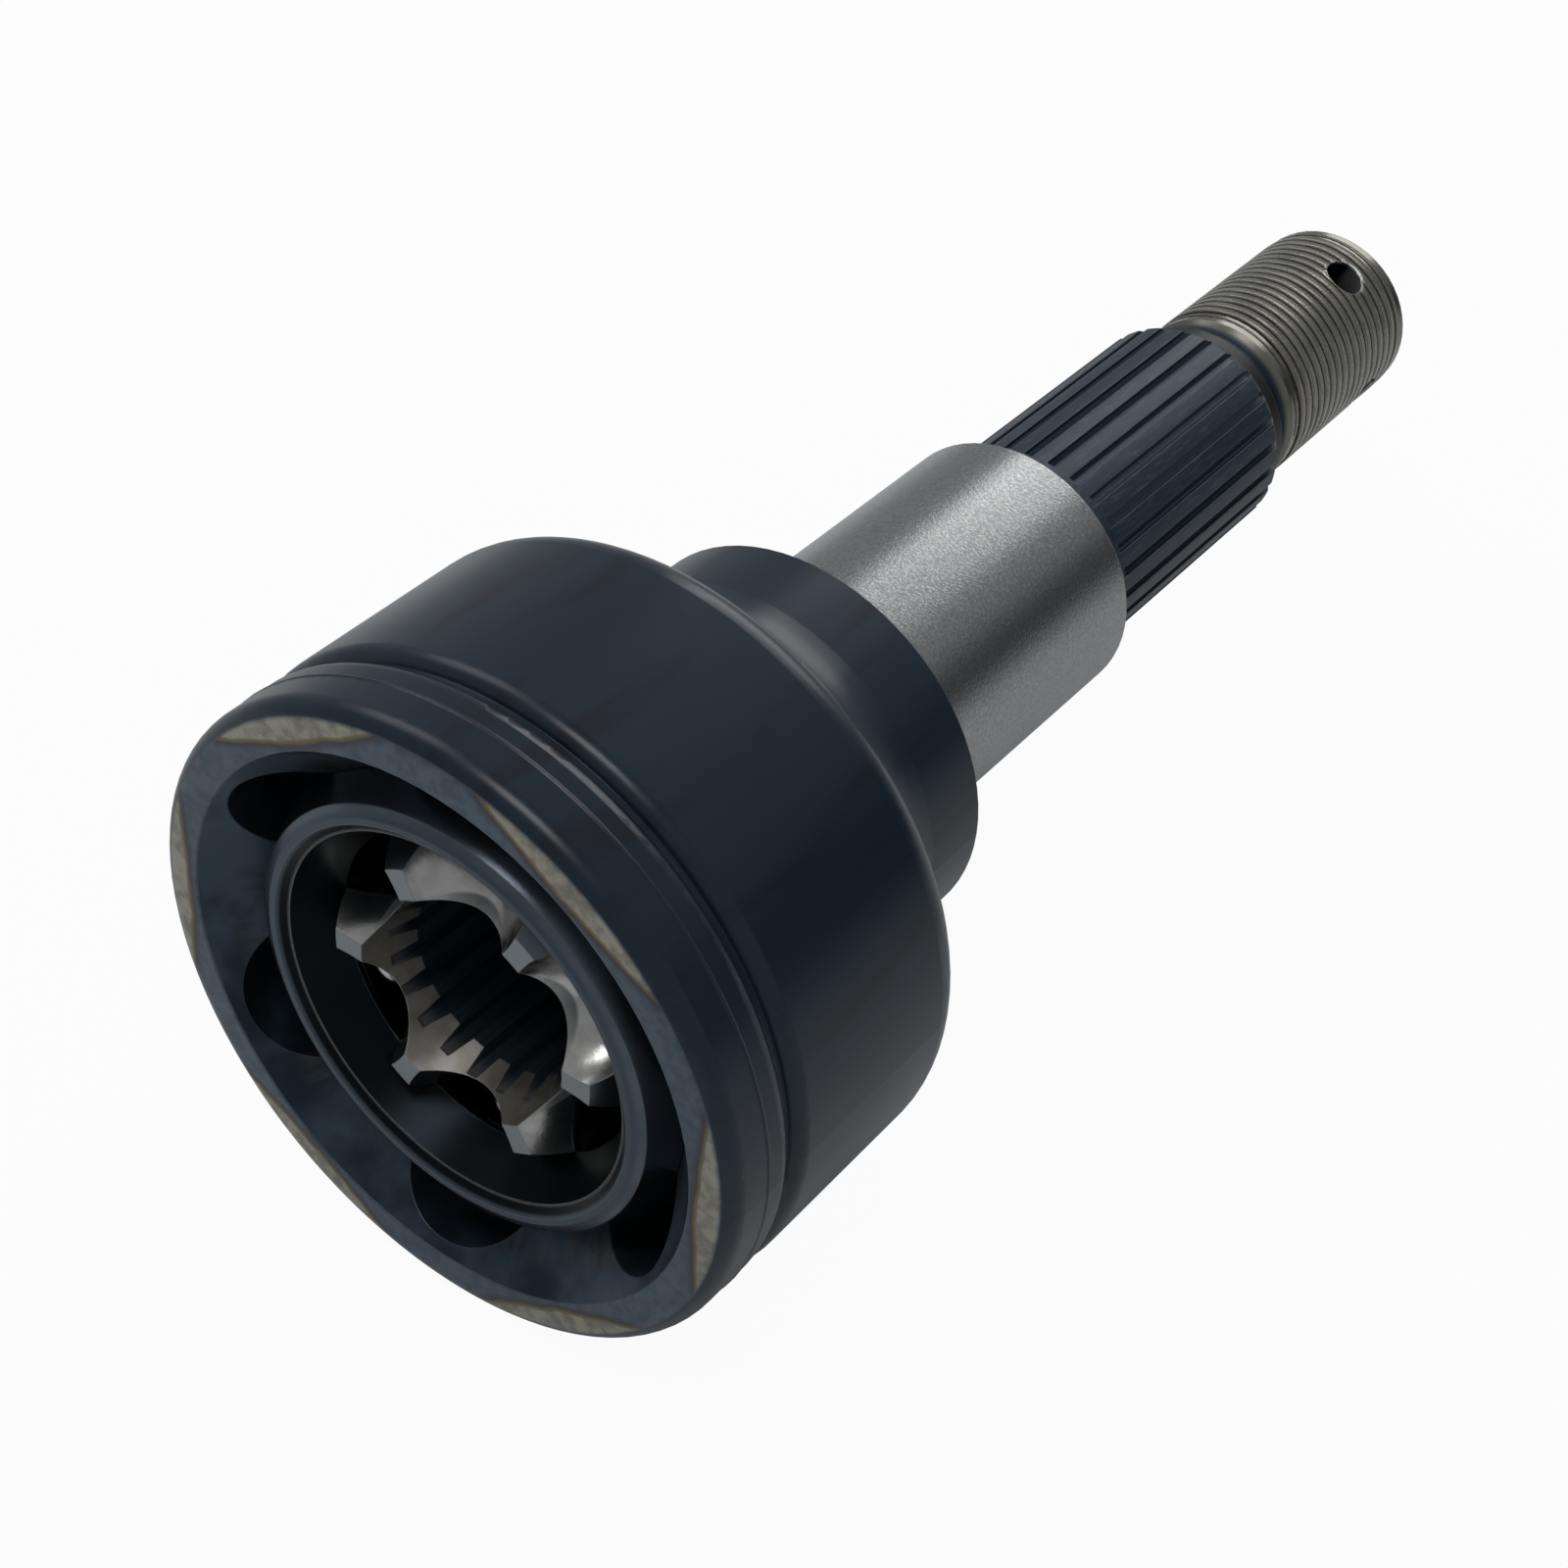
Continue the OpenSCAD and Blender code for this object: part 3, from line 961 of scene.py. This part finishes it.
@dataclass
class HubThread:
    """The hub nut thread's ridges, a helix that stands on the shaft's plain cylinder."""

    pitch: float = 1.5
    core_r: float = 10.7
    crest_r: float = 10.86
    sunk: float = 0.12
    foot_w: float = 1.28
    crest_w: float = 0.5
    start_y: float = 121.9
    end_y: float = 148.3
    fade: float = 1.6
    fade_height: float = 0.2
    steps_per_turn: int = 96
    hole_steps: int = 40
    hole_clearance: float = 0.07
    drill_radii: float = 4.0
    holes: CrossHoles = field(default_factory=CrossHoles)
    finish: ThreadFinish = field(default_factory=ThreadFinish)

    def sizes(self) -> dict[str, float]:
        """Gives the node tree's named inputs in metres, and its counts."""
        length = self.end_y - self.start_y
        return {
            "Turns": length / self.pitch,
            "Radius": self.core_r * MM,
            "Length": length * MM,
            "Start": self.start_y * MM,
            "Fade": self.fade / length,
            "Hole radius": (self.holes.r + self.hole_clearance) * MM,
            "Hole place": self.holes.y * MM,
        }

    def profile(self) -> bpy.types.Object:
        """Makes the ridge's section: a trapezium whose foot lies inside the shaft."""
        half_foot, half_crest = self.foot_w / 2 * MM, self.crest_w / 2 * MM
        low, high = -self.sunk * MM, (self.crest_r - self.core_r) * MM
        corners = ((-half_foot, low), (half_foot, low), (half_crest, high), (-half_crest, high))
        curve = bpy.data.curves.new("ridge_section", "CURVE")
        curve.dimensions = "3D"
        spline = curve.splines.new("POLY")
        spline.points.add(len(corners) - 1)
        for point, (across, up) in zip(spline.points, corners):
            point.co = (up, across, 0.0, 1.0)
        spline.use_cyclic_u = True
        made = bpy.data.objects.new("ridge_section", curve)
        bpy.context.scene.collection.objects.link(made)
        return made

    def helix(self, nodes: Nodes, given: bpy.types.NodeOutputs) -> tuple[Socket, Socket]:
        """Adds the helix that the ridge follows, and the ridge's height, which fades at both ends.

        Args:
            nodes: The node tree.
            given: The tree's own inputs.

        Returns:
            The helix, with its height as radius, and the height.
        """
        spiral = nodes.node("GeometryNodeCurveSpiral")
        nodes.feed_all(spiral, Resolution=self.steps_per_turn, Rotations=given["Turns"])
        nodes.feed_all(spiral, Start_Radius=given["Radius"], End_Radius=given["Radius"])
        nodes.feed(spiral.inputs["Height"], given["Length"])
        upright = nodes.node("GeometryNodeSetCurveNormal", mode="Z_UP")
        nodes.feed(upright.inputs["Curve"], spiral.outputs[0])
        along = nodes.node("GeometryNodeSplineParameter").outputs["Factor"]
        nearest_end = nodes.maths("MINIMUM", along, nodes.minus(1.0, along))
        height = nodes.ramp(nearest_end, 0.0, given["Fade"], self.fade_height)
        sized = nodes.node("GeometryNodeSetCurveRadius")
        nodes.feed_all(sized, Curve=upright.outputs[0], Radius=height)
        return sized.outputs[0], height

    def drill(self, nodes: Nodes, given: bpy.types.NodeOutputs, angle: float) -> Socket:
        """Adds one drill for the cross holes.

        Args:
            nodes: The node tree.
            given: The tree's own inputs.
            angle: The hole's turn about the shaft in degrees.

        Returns:
            The drill's mesh.
        """
        drill = nodes.node("GeometryNodeMeshCylinder")
        nodes.feed_all(drill, Vertices=self.hole_steps, Depth=self.drill_radii * self.core_r * MM)
        nodes.feed(drill.inputs["Radius"], given["Hole radius"])
        turned = nodes.node("GeometryNodeTransform")
        shift = nodes.vector(0.0, given["Hole place"], 0.0)
        nodes.feed_all(turned, Geometry=drill.outputs["Mesh"], Translation=shift)
        nodes.feed(turned.inputs["Rotation"], (0.0, math.radians(angle), 0.0))
        return turned.outputs[0]

    def tree(self, section: bpy.types.Object, steel: bpy.types.Material) -> bpy.types.NodeTree:
        """Builds the Geometry Nodes tree of the ridges.

        Args:
            section: The ridge's section curve.
            steel: The ridges' material.

        Returns:
            The node tree, with its sizes as named inputs.
        """
        tree = bpy.data.node_groups.new("thread_ridges", "GeometryNodeTree")
        nodes = Nodes(tree)
        tree.interface.new_socket("Geometry", in_out="OUTPUT", socket_type="NodeSocketGeometry")
        for name in self.sizes():
            tree.interface.new_socket(name, in_out="INPUT", socket_type="NodeSocketFloat")
        given = nodes.node("NodeGroupInput").outputs
        helix, height = self.helix(nodes, given)
        shape = nodes.node("GeometryNodeObjectInfo")
        nodes.feed(shape.inputs["Object"], section)
        swept = nodes.node("GeometryNodeCurveToMesh")
        nodes.feed_all(swept, Curve=helix, Profile_Curve=shape.outputs["Geometry"], Fill_Caps=True)
        if "Scale" in swept.inputs:
            nodes.feed(swept.inputs["Scale"], height)
        placed = nodes.node("GeometryNodeTransform")
        nodes.feed_all(placed, Geometry=swept.outputs[0], Rotation=(math.radians(-90), 0.0, 0.0))
        nodes.feed(placed.inputs["Translation"], nodes.vector(0.0, given["Start"], 0.0))
        cut = nodes.node("GeometryNodeMeshBoolean", operation="DIFFERENCE", solver="EXACT")
        nodes.feed(cut.inputs["Mesh 1"], placed.outputs[0])
        for angle in self.holes.angles:
            nodes.feed(cut.inputs["Mesh 2"], self.drill(nodes, given, angle))
        solid = nodes.node("GeometryNodeRealizeInstances")
        nodes.feed(solid.inputs[0], cut.outputs["Mesh"])
        painted = nodes.node("GeometryNodeSetMaterial")
        nodes.feed_all(painted, Material=steel, Geometry=solid.outputs[0])
        nodes.feed(nodes.node("NodeGroupOutput").inputs[0], painted.outputs[0])
        return tree

    def build(self) -> bpy.types.Object:
        """Makes the ridges as a plain mesh in place on the shaft.

        Returns:
            The finished piece.
        """
        section = self.profile()
        carrier = bpy.data.objects.new("ridge_carrier", bpy.data.meshes.new("ridge_carrier"))
        bpy.context.scene.collection.objects.link(carrier)
        modifier = carrier.modifiers.new("ridges", "NODES")
        modifier.node_group = self.tree(section, self.finish.material())
        values = self.sizes()
        for item in modifier.node_group.interface.items_tree:
            if item.in_out == "INPUT":
                modifier[item.identifier] = values[item.name]
        ready = carrier.evaluated_get(bpy.context.evaluated_depsgraph_get())
        mesh = bpy.data.meshes.new_from_object(ready)
        mesh.name = "hub_thread_ridges"
        piece = bpy.data.objects.new("hub_thread_ridges", mesh)
        bpy.context.scene.collection.objects.link(piece)
        carrier.modifiers.remove(modifier)
        for spare in (carrier, section):
            bpy.data.objects.remove(spare)
        return piece


@dataclass
class DriveJoint:
    """The whole joint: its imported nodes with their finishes, and the pieces added to them."""

    nodes: dict[str, bpy.types.Object]
    balls: int = 6
    thread: HubThread = field(default_factory=HubThread)

    def dress(self, node: str, material: bpy.types.Material) -> None:
        """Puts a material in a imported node's slots.

        Args:
            node: The node's name.
            material: Its finish.
        """
        mesh = self.nodes[node].data
        if not mesh.materials:
            mesh.materials.append(material)
        for index in range(len(mesh.materials)):
            mesh.materials[index] = material
        LOG.info("dressed %s with %s, %d faces", node, material.name, len(mesh.polygons))

    def build(self) -> None:
        """Dresses every node and adds the thread."""
        self.dress("outer_race", ForgedFinish().material())
        self.dress("cage", CageFinish().material())
        self.dress("inner_race", RaceFinish().material())
        chrome = BallFinish().material()
        for number in range(1, self.balls + 1):
            self.dress(f"ball_{number}", chrome)
        ridges = self.thread.build()
        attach(ridges, "outer_race")
        LOG.info("built %s, %d faces", ridges.name, len(ridges.data.polygons))


@dataclass(frozen=True)
class PhotoCamera:
    """The camera at the photograph's viewing angle, from a fit to the object's outlines."""

    place: Triple = (0.11723, -0.14011, 0.17910)
    right: Triple = (0.7979, 0.5990, 0.0679)
    up: Triple = (-0.4348, 0.4939, 0.7531)
    forward: Triple = (-0.4176, 0.6303, -0.6545)
    lens: float = 64.04
    sensor: float = 36.0
    nearest: float = 0.01
    farthest: float = 20.0

    def build(self) -> bpy.types.Object:
        """Makes the camera and names it as the scene's."""
        data = bpy.data.cameras.new("photo_camera")
        data.lens = self.lens
        data.sensor_width = self.sensor
        data.sensor_fit = "HORIZONTAL"
        data.clip_start = self.nearest
        data.clip_end = self.farthest
        camera = bpy.data.objects.new("photo_camera", data)
        bpy.context.scene.collection.objects.link(camera)
        turn = Matrix((self.right, self.up, [-v for v in self.forward])).transposed().to_4x4()
        camera.matrix_world = Matrix.Translation(Vector(self.place)) @ turn
        bpy.context.scene.camera = camera
        return camera

    def toward(self, right: float, up: float, back: float) -> Vector:
        """Turns a direction given as right, up and back from the camera into the row frame.

        Args:
            right: Share to the camera's right.
            up: Share upwards.
            back: Share behind the camera.

        Returns:
            The direction, one long.
        """
        mixed = Vector(self.right) * right + Vector(self.up) * up - Vector(self.forward) * back
        return mixed.normalized()


@dataclass(frozen=True)
class Lamp:
    """A soft box: where it stands as seen from the camera, its distance, size and light."""

    name: str
    direction: Triple
    distance: float
    size: Pair
    watts: float


@dataclass(frozen=True)
class Floor:
    """The pale floor, darker far out on the camera's right."""

    z: float = -0.0336
    half: float = 3.0
    near: Colour = (0.74, 0.75, 0.76, 1.0)
    far: Colour = (0.28, 0.285, 0.29, 1.0)
    far_side: Triple = (0.8, 0.6, 0.0)
    far_start: float = 0.2
    far_full: float = 0.6
    roughness: float = 0.9
    seen_share: float = 0.95
    mirror_share: float = 0.06

    def material(self) -> bpy.types.Material:
        """Builds the floor's material, which the camera sees nearly white."""
        graph = Graph("pale_floor")
        position = graph.node("ShaderNodeNewGeometry").outputs["Position"]
        far = graph.ramp(graph.dot(position, self.far_side), self.far_start, self.far_full)
        graph.feed(graph.shader.inputs["Base Color"], graph.mix(far, self.near, self.far))
        graph.feed(graph.shader.inputs["Roughness"], self.roughness)
        glow = graph.node("ShaderNodeEmission")
        graph.feed(glow.inputs["Color"], WHITE)
        path = graph.node("ShaderNodeLightPath").outputs
        direct = graph.larger(path["Is Camera Ray"], path["Is Transmission Ray"])
        mirrored = graph.times(path["Is Glossy Ray"], self.mirror_share)
        choice = graph.node("ShaderNodeMixShader")
        graph.feed(choice.inputs["Fac"], graph.larger(graph.times(direct, self.seen_share), mirrored))
        graph.feed(choice.inputs[1], graph.shader.outputs["BSDF"])
        graph.feed(choice.inputs[2], glow.outputs[0])
        graph.feed(graph.output.inputs["Surface"], choice.outputs[0])
        return graph.material

    def build(self) -> None:
        """Makes the floor under the joint."""
        mesh = bpy.data.meshes.new("studio_floor")
        sides = ((-1, -1), (1, -1), (1, 1), (-1, 1))
        mesh.from_pydata([(x * self.half, y * self.half, self.z) for x, y in sides], [], [(0, 1, 2, 3)])
        mesh.materials.append(self.material())
        floor = bpy.data.objects.new("studio_floor", mesh)
        bpy.context.scene.collection.objects.link(floor)


@dataclass
class Studio:
    """White backdrop, pale floor and soft boxes around the joint."""

    camera: PhotoCamera
    floor: Floor = Floor()
    centre: Triple = (0.0, 0.09, 0.0)
    lamps: tuple[Lamp, ...] = (
        Lamp("key_box", (0.434, 0.864, -0.257), 0.7, (0.45, 0.33), 1.25),
        Lamp("front_box", (-0.13, 0.54, 0.83), 0.9, (0.35, 0.35), 2.3),
        Lamp("left_box", (-0.6, 0.95, 0.35), 0.6, (0.3, 0.3), 0.6),
    )
    world_colour: str = "b5babe"
    world_strength: float = 0.46
    mirror_share: float = 0.18
    dark_side: Triple = (0.992, 0.06, -0.11)
    dark_start: float = 0.87
    dark_full: float = 0.985
    dark_share: float = 0.12

    def build(self) -> None:
        """Builds the world, the lamps and the floor."""
        self.world()
        for lamp in self.lamps:
            self.lamp(lamp)
        self.floor.build()
        bpy.context.scene.view_settings.view_transform = "Standard"

    def world(self) -> None:
        """Makes a world that the camera sees white and that lights the joint softly."""
        world = bpy.data.worlds.new("studio")
        bpy.context.scene.world = world
        world.use_nodes = True
        nodes = Nodes(world.node_tree)
        where = nodes.node("ShaderNodeTexCoord").outputs["Generated"]
        toward = nodes.dot(where, self.camera.toward(*self.dark_side))
        fade = nodes.ramp(toward, self.dark_start, self.dark_full, 1.0, self.dark_share)
        soft = nodes.node("ShaderNodeBackground")
        nodes.feed_all(soft, Color=self.world_colour, Strength=nodes.times(fade, self.world_strength))
        white = nodes.node("ShaderNodeBackground")
        nodes.feed(white.inputs["Color"], WHITE)
        path = nodes.node("ShaderNodeLightPath").outputs
        mirrored = nodes.times(path["Is Glossy Ray"], nodes.times(fade, self.mirror_share))
        direct = nodes.larger(path["Is Camera Ray"], path["Is Transmission Ray"])
        choice = nodes.node("ShaderNodeMixShader")
        nodes.feed(choice.inputs["Fac"], nodes.larger(direct, mirrored))
        nodes.feed(choice.inputs[1], soft.outputs[0])
        nodes.feed(choice.inputs[2], white.outputs[0])
        output = nodes.node("ShaderNodeOutputWorld")
        nodes.feed(output.inputs["Surface"], choice.outputs[0])

    def lamp(self, lamp: Lamp) -> None:
        """Makes one soft box that faces the joint.

        Args:
            lamp: Its place, size and light.
        """
        data = bpy.data.lights.new(lamp.name, "AREA")
        data.shape = "RECTANGLE"
        data.size, data.size_y = lamp.size
        data.energy = lamp.watts
        made = bpy.data.objects.new(lamp.name, data)
        bpy.context.scene.collection.objects.link(made)
        away = self.camera.toward(*lamp.direction)
        made.location = Vector(self.centre) + away * lamp.distance
        made.rotation_euler = away.to_track_quat("Z", "Y").to_euler()


def main() -> None:
    """Builds the camera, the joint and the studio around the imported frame."""
    logging.basicConfig(level=logging.INFO, format="%(name)s: %(message)s")
    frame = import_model()
    camera = PhotoCamera()
    camera.build()
    DriveJoint(frame["nodes"]).build()
    Studio(camera).build()


if __name__ == "__main__":
    main()
